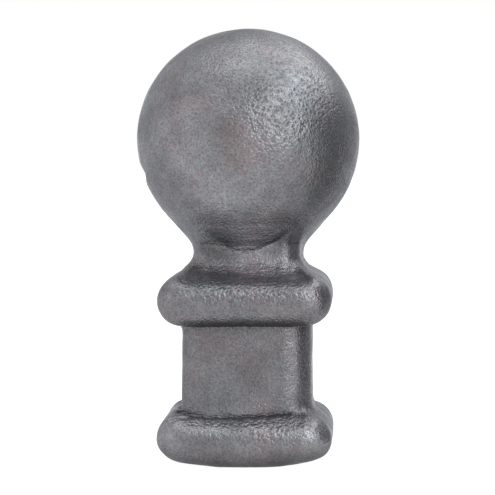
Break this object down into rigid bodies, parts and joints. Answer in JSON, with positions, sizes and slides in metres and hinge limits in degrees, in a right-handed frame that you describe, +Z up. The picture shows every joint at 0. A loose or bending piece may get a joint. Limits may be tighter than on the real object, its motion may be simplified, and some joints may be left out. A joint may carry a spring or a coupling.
{
  "type": "fence ball finial",
  "caption": "Cast iron ball finial for a square fence bar: ball on a square neck, collared stem with rounded edges, flat foot to weld on.",
  "frame": {"origin": "middle of the flat underside", "axes": "+Z up through the ball's centre, and -Y out of the front face of the square bar"},
  "size_m": [0.0444, 0.0444, 0.0867],
  "materials": {
    "raw_cast_iron": "raw sand casting, tumbled to a satin sheen, with fine grain and faint purple-brown mottling"
  },
  "bodies": {
    "root": {"ball_finial": "raw_cast_iron"}
  },
  "joints": []
}
